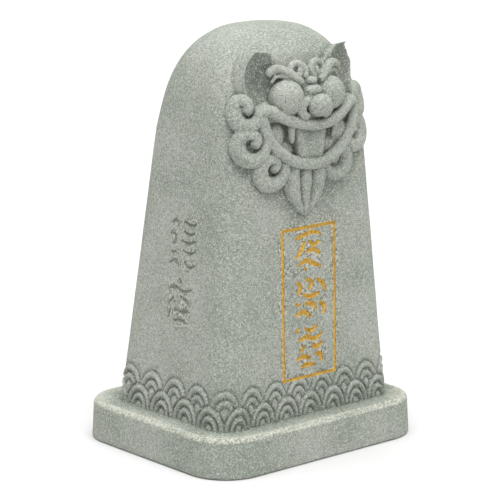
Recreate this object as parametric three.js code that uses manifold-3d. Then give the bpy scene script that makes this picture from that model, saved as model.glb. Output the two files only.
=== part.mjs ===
// A carved guardian stone: a tapered block with a domed top on a low rounded slab, all one piece
// of stone. A grinning beast mask stands out of the front under the dome, two rows of wave scales
// run round the foot, and a framed column of shallow strokes is cut below the mask.
// Millimetres, +Z up. The origin is the middle of the underside, and the mask faces -Y.
import * as THREE from "three";
import { mergeVertices } from "three/addons/utils/BufferGeometryUtils.js";
import Module from "manifold-3d";

const wasm = await Module();
wasm.setup();

const totalHeight = 200;

const slab = { halfX: 65.6, halfY: 55, height: 19, corner: 21, edge: 2.4, draft: 1 };

const block = {
  halfX: 53.8, // at the top of the slab
  halfY: 40.8,
  centreY: -1.8,
  sideTaper: 0.082, // millimetres inwards for each millimetre of rise
  frontTaper: 0.023,
  backTaper: 0.088,
  footCorner: 10,
  shoulderCorner: 15,
  shoulderZ: 151.4, // where the dome starts
  domePower: 3.17,
  crownRoundness: 0.85, // share of the half width that the corners take at the crown
};

const scaleBand = {
  frontCount: 7, // scales along the front, from corner to corner
  sideCount: 4.5,
  archHeight: 10.9,
  rowStep: 8.3,
  ridgeWidth: 2.1,
  proud: 0.7,
  rootDepth: 1.2,
  upperRowStart: 0.36, // radians above the springing line, where the lower row covers it
};

const panel = {
  halfX: 16.7,
  lowZ: 36.5,
  highZ: 108.7,
  lineWidth: 1.3,
  depth: 0.7,
  strokeWidth: 2,
  strokeDepth: 0.8,
  sideMiddleY: -6.5, // middle of the marks on the left side
};

const mask = { offsetX: -1.4 };

const mix = (a, b, t) => a + (b - a) * t;

// The block's own surface.

// The rounded rectangle of the block at one height.
function blockSection(z) {
  const rise = z - slab.height;
  const front = block.centreY - block.halfY + block.frontTaper * rise;
  const back = block.centreY + block.halfY - block.backTaper * rise;
  const halfX = block.halfX - block.sideTaper * rise;
  const halfY = (back - front) / 2;
  const dome = Math.max(0, (z - block.shoulderZ) / (totalHeight - block.shoulderZ));
  const shrink = Math.pow(Math.max(0, 1 - Math.pow(dome, block.domePower)), 1 / block.domePower);
  const climb = Math.min(1, rise / (block.shoulderZ - slab.height));
  const shoulder = mix(block.footCorner, block.shoulderCorner, climb);
  const corner = mix(shoulder, halfY * block.crownRoundness, dome) * Math.sqrt(shrink);
  return {
    halfX: halfX * shrink,
    halfY: halfY * shrink,
    centreY: (front + back) / 2,
    corner: Math.min(corner, halfX * shrink, halfY * shrink),
  };
}

// A point on a rounded rectangle: quarter turns of the angle are spent on its corners.
function ringPoint(section, angle) {
  const { halfX, halfY, corner, centreY = 0 } = section;
  const quarter = Math.PI / 2;
  const turn = ((angle % (4 * quarter)) + 4 * quarter) % (4 * quarter);
  const signX = turn < quarter || turn >= 3 * quarter ? 1 : -1;
  const signY = turn < 2 * quarter ? 1 : -1;
  return new THREE.Vector2(
    signX * (halfX - corner) + corner * Math.cos(turn),
    centreY + signY * (halfY - corner) + corner * Math.sin(turn),
  );
}

// A turned profile of radius 1 whose rings are pushed out to rounded rectangles.
function ringedSolid(levels, cornerSteps) {
  const bottom = levels[0];
  const top = levels[levels.length - 1];
  const profile = [
    new THREE.Vector2(0, bottom.z),
    ...levels.map((level) => new THREE.Vector2(1, level.z)),
    new THREE.Vector2(0, top.z),
  ];
  const sides = 4 * (cornerSteps + 1);
  const geometry = new THREE.LatheGeometry(profile, sides);
  const place = geometry.getAttribute("position");
  const rings = profile.length;
  for (let i = 0; i < place.count; i++) {
    const ring = i % rings;
    const level = levels[Math.min(Math.max(ring - 1, 0), levels.length - 1)];
    const centreY = level.section.centreY ?? 0;
    if (ring === 0 || ring === rings - 1) {
      place.setXYZ(i, 0, centreY, level.z);
      continue;
    }
    const step = Math.floor(i / rings) % sides;
    const quadrant = Math.floor(step / (cornerSteps + 1));
    const share = (step % (cornerSteps + 1)) / cornerSteps;
    const nudge = 1e-7; // keeps the ends of a quarter in their own quarter
    const angle = (quadrant + mix(nudge, 1 - nudge, share)) * (Math.PI / 2);
    const point = ringPoint(level.section, angle);
    place.setXYZ(i, point.x, point.y, level.z);
  }
  return geometry;
}

function slabGeometry() {
  const sideInset = (z) => slab.draft * Math.pow(z / slab.height, 2);
  const level = (z, inset) => ({
    z,
    section: {
      halfX: slab.halfX - inset,
      halfY: slab.halfY - inset,
      corner: slab.corner - inset,
    },
  });
  const edgeStart = slab.height - slab.edge;
  const levels = [level(0, 0.8), level(1, 0), level(slab.height / 2, sideInset(slab.height / 2))];
  const edgeSteps = 3;
  for (let i = 0; i <= edgeSteps; i++) {
    const turn = (i / edgeSteps) * (Math.PI / 2);
    const z = edgeStart + slab.edge * Math.sin(turn);
    levels.push(level(z, sideInset(edgeStart) + slab.edge * (1 - Math.cos(turn))));
  }
  return ringedSolid(levels, 7);
}

function blockGeometry() {
  const sunk = slab.height - 4; // the block's foot runs down inside the slab
  const heights = [sunk, 70, 120, block.shoulderZ];
  const domeSteps = 11;
  for (let i = 1; i <= domeSteps; i++) {
    const turn = (i / domeSteps) * (Math.PI / 2);
    heights.push(mix(block.shoulderZ, totalHeight - 0.02, Math.sin(turn)));
  }
  return ringedSolid(heights.map((z) => ({ z, section: blockSection(z) })), 7);
}

// Solids and booleans.

function solid(geometry) {
  const bare = geometry.index ? geometry.toNonIndexed() : geometry.clone();
  bare.deleteAttribute("normal");
  bare.deleteAttribute("uv");
  const merged = mergeVertices(bare, 1e-4);
  const made = new wasm.Manifold(
    new wasm.Mesh({
      numProp: 3,
      vertProperties: new Float32Array(merged.getAttribute("position").array),
      triVerts: new Uint32Array(merged.index.array),
    }),
  );
  if (made.volume() > 0) return made;
  const faces = merged.index.array;
  for (let i = 0; i < faces.length; i += 3) [faces[i + 1], faces[i + 2]] = [faces[i + 2], faces[i + 1]];
  return solid(merged);
}

function toGeometry(manifold) {
  const mesh = manifold.getMesh();
  const places = new Float32Array(mesh.numVert * 3);
  for (let i = 0; i < mesh.numVert; i++) {
    places.set(mesh.vertProperties.subarray(i * mesh.numProp, i * mesh.numProp + 3), i * 3);
  }
  const geometry = new THREE.BufferGeometry();
  geometry.setAttribute("position", new THREE.BufferAttribute(places, 3));
  geometry.setIndex(new THREE.BufferAttribute(mesh.triVerts, 1));
  geometry.computeVertexNormals();
  return geometry;
}

// The wave scales.

// A walk round the block's foot: the length along it from the front left corner, seen from the
// front, to a place and an outward direction.
function footWalk(z) {
  const section = blockSection(z);
  const arc = (section.corner * Math.PI) / 2;
  const alongX = 2 * (section.halfX - section.corner);
  const alongY = 2 * (section.halfY - section.corner);
  const sides = [alongX + arc, alongY + arc, alongX + arc, alongY + arc];
  const counts = [scaleBand.frontCount, scaleBand.sideCount, scaleBand.frontCount, scaleBand.sideCount];
  return (index) => {
    let side = 0;
    let left = index;
    const all = counts.reduce((sum, count) => sum + count, 0);
    left = ((left % all) + all) % all;
    while (left >= counts[side]) left -= counts[side++];
    const along = (left / counts[side]) * sides[side];
    const straight = side % 2 === 0 ? alongX : alongY;
    const heading = -Math.PI / 2 + (side * Math.PI) / 2; // outward direction of this side
    let angle = heading;
    let slide = along - arc / 2 - straight / 2;
    if (along < arc / 2) {
      angle = heading - Math.PI / 4 + along / section.corner;
      slide = -straight / 2;
    } else if (along > arc / 2 + straight) {
      angle = heading + (along - arc / 2 - straight) / section.corner;
      slide = straight / 2;
    }
    const outward = new THREE.Vector2(Math.cos(angle), Math.sin(angle));
    const face = new THREE.Vector2(Math.cos(heading), Math.sin(heading));
    const tangent = new THREE.Vector2(-face.y, face.x);
    const reach = (side % 2 === 0 ? section.halfY : section.halfX) - section.corner;
    const place = face.clone().multiplyScalar(reach).addScaledVector(tangent, slide);
    place.addScaledVector(outward, section.corner);
    place.y += section.centreY;
    return { place, outward };
  };
}

// One arched ridge, drawn flat in scale pitches and millimetres of height, then wrapped on.
function scaleRidge(index, row) {
  const firstAngle = row === 0 ? 0 : scaleBand.upperRowStart;
  const springing = slab.height + row * scaleBand.rowStep;
  const steps = row === 0 ? 7 : 5;
  const pitch = 16;
  const sweep = Math.PI - 2 * firstAngle;
  const geometry = new THREE.BoxGeometry(1, 1, 1, steps, 1, 1);
  const places = geometry.getAttribute("position");
  for (let i = 0; i < places.count; i++) {
    const angle = firstAngle + (places.getX(i) + 0.5) * sweep;
    const inset = (0.5 - places.getY(i)) * scaleBand.ridgeWidth;
    const across = (0.5 - inset / pitch) * Math.cos(angle);
    const z = springing + (scaleBand.archHeight - inset) * Math.sin(angle) - (row === 0 ? 0.3 : 0);
    const out = places.getZ(i) > 0 ? scaleBand.proud : -scaleBand.rootDepth;
    const { place, outward } = footWalk(Math.max(z, slab.height))(index + across);
    places.setXYZ(i, place.x + outward.x * out, place.y + outward.y * out, z);
  }
  return geometry;
}

function scaleRidges() {
  const count = 2 * (scaleBand.frontCount + scaleBand.sideCount);
  const ridges = [];
  for (let i = 0; i < count; i++) {
    ridges.push(scaleRidge(i + 0.5, 0));
    ridges.push(scaleRidge(i + 1, 1));
  }
  return ridges;
}

// The beast mask.

// A mask place is [across, height, proud]: across is walked along the block's outline from the
// mask's middle line, and round its corner, and proud stands straight out of that surface.
function maskPoint(side, [across, height, proud]) {
  const section = blockSection(height);
  const flat = section.halfX - section.corner;
  const walked = side * across + mask.offsetX;
  const way = walked < 0 ? -1 : 1;
  const turn = Math.max(0, Math.abs(walked) - flat) / section.corner;
  const reach = section.corner + proud;
  return new THREE.Vector3(
    way * (Math.min(Math.abs(walked), flat) + reach * Math.sin(turn)),
    section.centreY - section.halfY + section.corner - reach * Math.cos(turn),
    height,
  );
}

// The way the surface faces at a mask place, as a turn about the upright.
function maskTurn(side, [across, height]) {
  const section = blockSection(height);
  const walked = side * across + mask.offsetX;
  const past = Math.max(0, Math.abs(walked) - section.halfX + section.corner);
  return (Math.sign(walked) * past) / section.corner;
}

// A round bar along a smooth curve, with a radius at each of its points and domed ends.
function bar(points, radii, steps, sides) {
  const curve = new THREE.CatmullRomCurve3(points, false, "centripetal");
  const frames = curve.computeFrenetFrames(steps, false);
  const geometry = new THREE.CylinderGeometry(1, 1, 1, sides, steps);
  const places = geometry.getAttribute("position");
  for (let i = 0; i < places.count; i++) {
    const share = 0.5 - places.getY(i);
    const ring = Math.round(share * steps);
    const along = share * (radii.length - 1);
    const low = Math.min(Math.floor(along), radii.length - 2);
    const radius = mix(radii[low], radii[low + 1], along - low);
    const middle = curve.getPointAt(share);
    middle.addScaledVector(frames.normals[ring], places.getX(i) * radius);
    middle.addScaledVector(frames.binormals[ring], places.getZ(i) * radius);
    places.setXYZ(i, middle.x, middle.y, middle.z);
  }
  return geometry;
}

// A bar along mask places that carry their own radius last.
function roll(side, path, steps, sides) {
  const points = path.map((place) => maskPoint(side, place));
  return bar(points, path.map((place) => place[3]), steps, sides);
}

// An egg-shaped lump: tilted about X, leant about Y and then turned about Z.
function ball(centre, size, [tilt, lean, turn] = [0, 0, 0]) {
  const geometry = new THREE.SphereGeometry(1, 10, 7);
  geometry.rotateX(Math.PI / 2);
  geometry.scale(size[0], size[1], size[2]);
  geometry.rotateX(tilt);
  geometry.rotateY(lean);
  geometry.rotateZ(turn);
  geometry.translate(centre.x, centre.y, centre.z);
  return geometry;
}

// A curl winds in from the lip to its eye, as [outward, up, radius] about the eye.
const curlPath = [
  [-8.6, 1.6, 2.3],
  [-8.3, -2.6, 2.8],
  [-5.6, -6.2, 3.3],
  [-0.9, -7.6, 3.7],
  [3.5, -6, 4],
  [5.5, -2, 4.2],
  [4.4, 2.2, 3.6],
  [1, 4.3, 3],
  [-2, 3.6, 2.6],
  [-3.1, 1.5, 2.4],
  [-2.1, -0.2, 2.1],
];
const curlTop = { left: 4.8, right: 3.1 }; // how far the rolls stand out of the wall
const curls = [
  { across: 34.3, height: 166, inward: 0.76, outward: 0.95, tall: 1.04, shift: -0.2 },
  { across: 32, height: 150.9, inward: 0.78, outward: 1.06, tall: 1.02, shift: -0.8 },
  { across: 21.5, height: 138.7, inward: 0.98, outward: 1, tall: 1, shift: -1.7 },
];

// A beard curl: a pad with an outer and an inner length of the winding roll on it.
function beardCurl(side, { across, height, inward, outward, tall, shift }) {
  const top = side < 0 ? curlTop.left : curlTop.right;
  const path = curlPath.map(([out, up, radius]) => [
    shift + side * (across + out * (out > 0 ? outward : inward)),
    height + up * tall,
    top - radius,
    radius,
  ]);
  const middle = [shift + side * across, height - 1.5, -1.5];
  const pad = ball(maskPoint(1, middle), [7.2, 3.2, 8], [0, 0, maskTurn(1, middle)]);
  return [pad, roll(1, path.slice(0, 8), 9, 6), roll(1, path.slice(6), 6, 6)];
}

function lips() {
  const upper = [
    [-28.4, 163.6, 1.6, 2.4],
    [-26.4, 165, 2.4, 2.9],
    [-19.2, 162.7, 4.2, 2.9],
    [-13.8, 160, 5.2, 2.7],
    [-6.5, 157.7, 6, 2.6],
    [0.4, 156.7, 6.2, 2.6],
    [9, 157.2, 6, 2.6],
    [16, 159.4, 5.2, 2.6],
    [22.2, 163, 4, 2.6],
    [26.2, 165.2, 3, 2.5],
    [28.8, 163.6, 2, 2.2],
  ];
  const lower = [
    [-27.4, 164, 1.8, 2.6],
    [-26.8, 160, 2, 3],
    [-25.9, 155.2, 2.3, 3],
    [-22.6, 149.6, 2.8, 3],
    [-17.6, 144.9, 3.4, 2.9],
    [-11.1, 141, 3.9, 2.8],
    [-2.3, 138.9, 4.3, 2.8],
    [6, 138.9, 4.3, 2.8],
    [12.7, 140.8, 4, 2.8],
    [20.3, 145.5, 3.3, 2.7],
    [25.4, 151.8, 2.6, 2.6],
    [28.2, 158.2, 2.2, 2.5],
    [28.8, 162.6, 2, 2.3],
  ];
  return [roll(1, upper, 15, 6), roll(1, lower, 16, 6)];
}

function browAndSpiral(side) {
  const brow = [
    [21, 180.4, 1.6, 1.6],
    [19.4, 182.2, 2.4, 2],
    [16.4, 183.1, 3.2, 2.1],
    [11, 180.3, 4.7, 1.9],
    [8.4, 178.1, 5.3, 1.8],
    [5.2, 176.6, 5.5, 1.5],
  ];
  const spiral = [
    [3.4, 178.4, 5, 1.3],
    [2.2, 180, 4.8, 1.5],
    [2.4, 182.6, 4.4, 1.6],
    [4.6, 184.3, 4, 1.6],
    [7.6, 184.6, 3.8, 1.5],
    [9.9, 183, 3.8, 1.4],
    [9.6, 180.8, 4.1, 1.3],
    [7.2, 179.5, 4.4, 1.3],
  ];
  return [roll(side, brow, 7, 5), roll(side, spiral, 8, 5)];
}

function eyeAndCheek(side) {
  const eye = maskPoint(side, [12.9 - 0.4 * side, 169.8, 2.6]);
  const cheek = maskPoint(side, [18.5, 163.6, -1.4]);
  return [ball(eye, [8.6, 7.7, 8.4]), ball(cheek, [11, 4.6, 5.4], [0, 0, side * 0.2])];
}

function nose() {
  const parts = [
    ball(maskPoint(1, [0, 170, 0]), [7, 6, 12]),
    ball(maskPoint(1, [0.8, 165.8, 8.6]), [6.1, 5, 5.4]),
    ball(maskPoint(1, [0, 172.7, 6.2]), [4.9, 3.6, 2.5]),
    ball(maskPoint(1, [0, 177, 5.4]), [3.3, 3.2, 1.8]),
    ball(maskPoint(1, [0, 168.6, 4.2]), [6.8, 4.6, 5]),
    ball(maskPoint(1, [0, 162, 0.6]), [15, 5.8, 8]),
  ];
  for (const side of [-1, 1]) parts.push(ball(maskPoint(side, [6.4, 165, 6.2]), [3, 3.4, 3.9]));
  return parts;
}

// The broad tongue between the fangs, narrower towards its lower edge.
function tongue() {
  const plate = new THREE.BoxGeometry(19.4, 8.8, 20);
  const places = plate.getAttribute("position");
  const middle = maskPoint(1, [0, 150, 0.6]);
  for (let i = 0; i < places.count; i++) {
    const narrow = places.getZ(i) < 0 ? 0.8 : 1;
    places.setXYZ(
      i,
      middle.x + places.getX(i) * narrow,
      middle.y + places.getY(i),
      middle.z + places.getZ(i),
    );
  }
  return plate;
}

function mouthInside() {
  const parts = [tongue(), ball(maskPoint(1, [0, 142, 0.2]), [8, 3.8, 3.6])];
  for (const side of [-1, 1]) {
    parts.push(ball(maskPoint(side, [20, 152.6, -0.4]), [5, 3, 9.4], [0, side * -0.42, 0]));
    parts.push(ball(maskPoint(side, [27.4, 156.4, -0.4]), [3, 2.6, 4]));
    parts.push(ball(maskPoint(side, [13.2, 145.4, -1]), [5.4, 3.4, 4.6], [0, side * -0.6, 0]));
    const fang = [
      [15.8, 158.6, 2.8, 1.7],
      [15.4, 155.4, 3, 1.6],
      [14.7, 152, 2.8, 1.2],
      [14, 149.6, 2.4, 0.7],
    ];
    parts.push(roll(side, fang, 5, 5));
  }
  return parts;
}

// The goatee: three pointed lobes side by side that meet near one tip.
function goatee() {
  const lobes = [-1, 1].map((side) => [
    [side * 7.4 - 1.9, 138.5, 0.2, 4.4],
    [side * 8 - 1.9, 131.8, 0.4, 4.6],
    [side * 6.9 - 1.8, 125.4, 0.3, 4],
    [side * 4.2 - 1.4, 119.4, 0.3, 2.9],
    [side * 1.5 - 0.9, 114.9, 0.2, 1.6],
  ]);
  const middle = [
    [-1.9, 138.5, 0.8, 3.5],
    [-1.9, 131, 1.3, 3.5],
    [-1.8, 124, 1.2, 2.8],
    [-1.3, 118, 0.9, 1.9],
    [-0.7, 113.8, 0.4, 1.1],
  ];
  return [...lobes, middle].map((lobe) => roll(1, lobe, 5, 6));
}

const earSpread = { left: 1, right: 0.9 };
const spread = (side) => (side < 0 ? earSpread.left : earSpread.right);

// The hollow of an ear, which runs on into the dome behind it.
function earHollow(side) {
  const place = new THREE.Vector3(mask.offsetX + side * 26 * spread(side), -38.6, 178.4);
  return ball(place, [7.4, 6.2, 13.6], [-0.2, 0, side * 0.37]);
}

// An ear: a curved three-cornered leaf standing off the dome, hollowed towards the front.
function ear(side) {
  const outline = new THREE.Shape();
  outline.moveTo(12.8, 184.4);
  outline.quadraticCurveTo(19, 189.5, 25.4, 191.6);
  outline.quadraticCurveTo(32.5, 183, 34.6, 176);
  outline.quadraticCurveTo(34.5, 169, 28.4, 167.6);
  outline.quadraticCurveTo(23, 166, 20, 170.4);
  outline.quadraticCurveTo(18.6, 178, 12.8, 184.4);
  const leaf = new THREE.ExtrudeGeometry(outline, { depth: 16, bevelEnabled: false, curveSegments: 4 });
  const places = leaf.getAttribute("position");
  for (let i = 0; i < places.count; i++) {
    const across = places.getX(i);
    const height = places.getY(i);
    const back = places.getZ(i);
    const front = -37 + 0.3875 * (across - 25.4) + 0.152 * (height - 176);
    places.setXYZ(i, mask.offsetX + side * across * spread(side), front + back, height - back / 4);
  }
  return solid(leaf).subtract(solid(earHollow(side)));
}

function maskSolid() {
  let made = solid(nose()[0]);
  const grow = (parts) => {
    for (const part of parts) made = made.add(solid(part));
  };
  for (const side of [-1, 1]) {
    made = made.add(ear(side));
    for (const curl of curls) grow(beardCurl(side, curl));
    grow(browAndSpiral(side));
    grow(eyeAndCheek(side));
  }
  grow(goatee());
  grow(mouthInside());
  grow(lips());
  grow(nose());
  return made;
}

// The cut panel.

function frontCut(lowX, highX, lowZ, highZ) {
  const middleZ = (lowZ + highZ) / 2;
  const section = blockSection(middleZ);
  const front = section.centreY - section.halfY;
  const box = new THREE.BoxGeometry(highX - lowX, 2 * panel.depth, highZ - lowZ);
  box.rotateX(-Math.atan(block.frontTaper));
  box.translate((lowX + highX) / 2, front, middleZ);
  return box;
}

// Brush marks inside the frame, as [across, up, length, lean] in each of its three groups. They
// are rows of slanting dabs and long sweeps that spell nothing.
const brushGroups = [
  {
    height: 97,
    marks: [
      [0.5, 6.2, 16, 0.16],
      [-5, 0.6, 9, -0.8],
      [4.8, 0.4, 8, 0.5],
      [-0.4, -6.4, 15, 0.3],
    ],
  },
  { height: 75, marks: [[-1, 6.6, 12, -0.3], [-4.6, 1, 8, 0.7], [5, -1, 10, -0.9], [-1, -7, 17, 0.12]] },
  {
    height: 51.7,
    marks: [
      [0.8, 7, 15, 0.24],
      [-5.4, 2, 7, 0.9],
      [3.6, 0.6, 9, 0.6],
      [-0.6, -6.6, 14, -0.22],
    ],
  },
];

// The unpainted marks on the left side, lower and shallower.
const sideGroups = [
  {
    height: 100.9,
    marks: [
      [-4.6, 7.2, 8, 0.9],
      [5, 5.6, 9, -0.7],
      [0.5, -1, 14, 0.2],
      [1, -8, 12, -0.35],
    ],
  },
  {
    height: 74.4,
    marks: [
      [0.4, 7.4, 11, 0.34],
      [-5.2, 1, 7, -0.9],
      [4.8, -0.6, 8, 0.8],
      [-0.4, -7.4, 13, 0.18],
    ],
  },
];

function brushCuts() {
  const { strokeWidth, strokeDepth, sideMiddleY } = panel;
  const cuts = [];
  for (const { height, marks } of brushGroups) {
    for (const [across, up, length, lean] of marks) {
      const mark = new THREE.BoxGeometry(length, 2 * strokeDepth, strokeWidth);
      mark.rotateY(-lean);
      mark.rotateX(-Math.atan(block.frontTaper));
      const section = blockSection(height + up);
      mark.translate(across, section.centreY - section.halfY, height + up);
      cuts.push(mark);
    }
  }
  for (const { height, marks } of sideGroups) {
    for (const [across, up, length, lean] of marks) {
      const mark = new THREE.BoxGeometry(2 * strokeDepth, length, strokeWidth);
      mark.rotateX(-lean);
      mark.rotateY(Math.atan(block.sideTaper));
      mark.translate(-blockSection(height + up).halfX, sideMiddleY - across, height + up);
      cuts.push(mark);
    }
  }
  return cuts;
}

function panelCuts() {
  const { halfX, lowZ, highZ, lineWidth } = panel;
  return [
    frontCut(-halfX, -halfX + lineWidth, lowZ, highZ),
    frontCut(halfX - lineWidth, halfX, lowZ, highZ),
    frontCut(-halfX, halfX, lowZ, lowZ + lineWidth),
    frontCut(-halfX, halfX, highZ - lineWidth, highZ),
    ...brushCuts(),
  ];
}

// The whole stone.

function guardianStone() {
  let stone = solid(blockGeometry());
  for (const side of [-1, 1]) stone = stone.subtract(solid(earHollow(side)));
  stone = stone.add(solid(slabGeometry()));
  for (const ridge of scaleRidges()) stone = stone.add(solid(ridge));
  stone = stone.add(maskSolid());
  for (const cut of panelCuts()) stone = stone.subtract(solid(cut));
  const material = new THREE.MeshStandardMaterial({ color: 0xa9aea2, roughness: 0.9, metalness: 0 });
  const mesh = new THREE.Mesh(toGeometry(stone), material);
  mesh.name = "guardian_stone";
  return mesh;
}

const root = new THREE.Group();
root.add(guardianStone());

export default root;
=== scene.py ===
# A carved warding stone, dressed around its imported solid: a slab foot, a tapered block with a domed
# top, a grinning guardian lion in relief, two rows of wave scales and gilded brush marks.
import math

import bmesh
import bpy
import numpy as np
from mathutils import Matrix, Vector, noise


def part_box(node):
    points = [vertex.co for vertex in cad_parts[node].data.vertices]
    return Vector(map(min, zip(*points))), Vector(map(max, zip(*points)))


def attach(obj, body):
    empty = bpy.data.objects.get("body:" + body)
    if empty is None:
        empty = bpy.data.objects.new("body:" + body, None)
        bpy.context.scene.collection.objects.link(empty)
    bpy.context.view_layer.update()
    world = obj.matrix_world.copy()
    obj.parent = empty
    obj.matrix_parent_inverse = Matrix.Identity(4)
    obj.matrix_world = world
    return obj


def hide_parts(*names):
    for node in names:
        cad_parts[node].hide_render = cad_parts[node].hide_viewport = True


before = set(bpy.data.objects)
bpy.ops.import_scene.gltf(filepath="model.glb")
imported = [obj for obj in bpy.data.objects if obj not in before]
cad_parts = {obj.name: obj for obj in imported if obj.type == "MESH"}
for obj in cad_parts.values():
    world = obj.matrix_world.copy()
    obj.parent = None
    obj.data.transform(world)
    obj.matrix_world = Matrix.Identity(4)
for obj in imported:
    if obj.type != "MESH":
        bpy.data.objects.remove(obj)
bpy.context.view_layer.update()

mm = 0.001
scene = bpy.context.scene
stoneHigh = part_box("guardian_stone")[1]


def letGo():
    bpy.ops.object.select_all(action="DESELECT")


def pick(piece):
    letGo()
    piece.select_set(True)
    bpy.context.view_layer.objects.active = piece
    return piece


def joined(pieces, name):
    letGo()
    for piece in pieces:
        piece.select_set(True)
    bpy.context.view_layer.objects.active = pieces[0]
    bpy.ops.object.join()
    whole = bpy.context.object
    whole.name = name
    return whole


def settle(piece):  # moves the place, turn and scale into the mesh
    pick(piece)
    bpy.ops.object.transform_apply(location=True, rotation=True, scale=True)
    return piece


def carve(piece, tool):  # takes the tool's shape out of the piece
    chisel = pick(piece).modifiers.new("chisel", "BOOLEAN")
    chisel.operation = "DIFFERENCE"
    chisel.solver = "MANIFOLD"
    chisel.object = tool
    bpy.ops.object.modifier_apply(modifier=chisel.name)
    bpy.data.objects.remove(tool)


def between(low, high, share):
    return low + (high - low) * share


def easedStep(low, high, value):
    share = min(max((value - low) / (high - low), 0.0), 1.0)
    return share * share * (3 - 2 * share)


# The slab foot. Every size below is in millimetres.
slab = {
    "halfWidth": stoneHigh.x / mm - 0.25,
    "halfDepth": stoneHigh.y / mm - 0.25,
    "height": 19.0,
    "cornerRadius": 21.0,
    "topRound": 2.3,
    "footRound": 0.8,
    "topPull": 0.985,  # how far the sides lean in by the top
}


def makeSlab():
    letGo()
    bpy.ops.mesh.primitive_cube_add(size=2, location=(0, 0, slab["height"] / 2 * mm))
    foot = bpy.context.object
    foot.scale = (slab["halfWidth"] * mm, slab["halfDepth"] * mm, slab["height"] / 2 * mm)
    settle(foot)
    bpy.ops.object.mode_set(mode="EDIT")
    bpy.ops.mesh.select_mode(type="EDGE")

    def bevelEdges(wanted, size, steps):
        bpy.ops.mesh.select_all(action="DESELECT")
        shape = bmesh.from_edit_mesh(foot.data)
        for edge in shape.edges:
            edge.select_set(wanted(*(end.co / mm for end in edge.verts)))
        bmesh.update_edit_mesh(foot.data)
        bpy.ops.mesh.bevel(offset=size * mm, segments=steps, affect="EDGES", clamp_overlap=False)

    bevelEdges(lambda a, b: abs(a.z - b.z) > 1, slab["cornerRadius"], 12)
    bpy.ops.mesh.select_mode(type="VERT")
    bpy.ops.mesh.select_all(action="DESELECT")
    shape = bmesh.from_edit_mesh(foot.data)
    for spot in shape.verts:
        spot.select_set(spot.co.z > slab["height"] / 2 * mm)
    bmesh.update_edit_mesh(foot.data)
    pull = slab["topPull"]
    bpy.ops.transform.resize(value=(pull, pull, 1), center_override=(0, 0, 0))
    bpy.ops.mesh.select_mode(type="EDGE")
    nearTop = slab["height"] - 0.01
    bevelEdges(lambda a, b: a.z > nearTop and b.z > nearTop, slab["topRound"], 5)
    bevelEdges(lambda a, b: a.z < 0.01 and b.z < 0.01, slab["footRound"], 2)
    bpy.ops.object.mode_set(mode="OBJECT")
    return foot


block = {
    "halfWidth": 53.8,  # at the top of the slab
    "halfDepth": 40.8,
    "middleY": -1.8,
    "sideLean": 0.082,  # inwards for each millimetre of rise
    "frontLean": 0.023,
    "backLean": 0.088,
    "footCorner": 10.0,
    "shoulderCorner": 15.0,
    "shoulder": 151.4,  # where the dome starts
    "domePower": 3.17,
    "crownRound": 0.85,
    "top": stoneHigh.z / mm - 0.1,
    "ringSteps": 160,
}


def blockSection(z):
    rise = z - slab["height"]
    front = block["middleY"] - block["halfDepth"] + block["frontLean"] * rise
    back = block["middleY"] + block["halfDepth"] - block["backLean"] * rise
    wide = block["halfWidth"] - block["sideLean"] * rise
    deep = (back - front) / 2
    dome = max(0.0, (z - block["shoulder"]) / (stoneHigh.z / mm - block["shoulder"]))
    power = block["domePower"]
    shrink = max(0.0, 1 - dome ** power) ** (1 / power)
    climb = min(1.0, rise / (block["shoulder"] - slab["height"]))
    corner = between(block["footCorner"], block["shoulderCorner"], climb)
    corner = between(corner, deep * block["crownRound"], dome) * math.sqrt(shrink)
    wide, deep = wide * shrink, deep * shrink
    return wide, deep, (front + back) / 2, min(corner, wide, deep)


def makeBlock():
    letGo()
    startZ = slab["height"] - 6
    bpy.ops.mesh.primitive_circle_add(
        vertices=block["ringSteps"], radius=1, fill_type="NGON", location=(0, 0, startZ))
    column = settle(bpy.context.object)
    domeSteps = 36
    levels = [between(startZ, block["shoulder"], step / 12) for step in range(1, 13)]
    for step in range(1, domeSteps + 1):
        climb = math.sin(step / domeSteps * math.pi / 2)
        levels.append(between(block["shoulder"], block["top"], climb))
    bpy.ops.object.mode_set(mode="EDIT")
    bpy.ops.mesh.select_all(action="SELECT")
    lastZ = startZ
    for z in levels:
        bpy.ops.mesh.extrude_region_move(TRANSFORM_OT_translate={"value": (0, 0, z - lastZ)})
        lastZ = z
    bpy.ops.object.mode_set(mode="OBJECT")
    for spot in column.data.vertices:  # press the round column out to the block's own outline
        x, y, z = spot.co
        wide, deep, middleY, corner = blockSection(z)
        turn = math.atan2(y, x)
        cornerX = math.copysign(wide - corner, x)
        cornerY = math.copysign(deep - corner, y)
        spot.co = (
            (cornerX + corner * math.cos(turn)) * mm,
            (middleY + cornerY + corner * math.sin(turn)) * mm,
            z * mm,
        )
    pick(column)
    bpy.ops.object.mode_set(mode="EDIT")
    bpy.ops.mesh.select_all(action="SELECT")
    bpy.ops.mesh.normals_make_consistent(inside=False)
    bpy.ops.object.mode_set(mode="OBJECT")
    return column


# A place on the guardian's face is (across, height, proud): across from the face's middle line,
# walked round the block's corner, and proud out of the block's surface.
face = {"middleX": -1.4}


def onFace(across, height, proud):
    wide, deep, middleY, corner = blockSection(height)
    flat = wide - corner
    walk = abs(across + face["middleX"])
    side = 1 if across + face["middleX"] >= 0 else -1
    turn = max(0.0, walk - flat) / max(corner, 1)
    reach = corner + proud
    return Vector((
        side * (min(walk, flat) + reach * math.sin(turn)),
        middleY - deep + corner - reach * math.cos(turn),
        height,
    )) * mm


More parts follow.
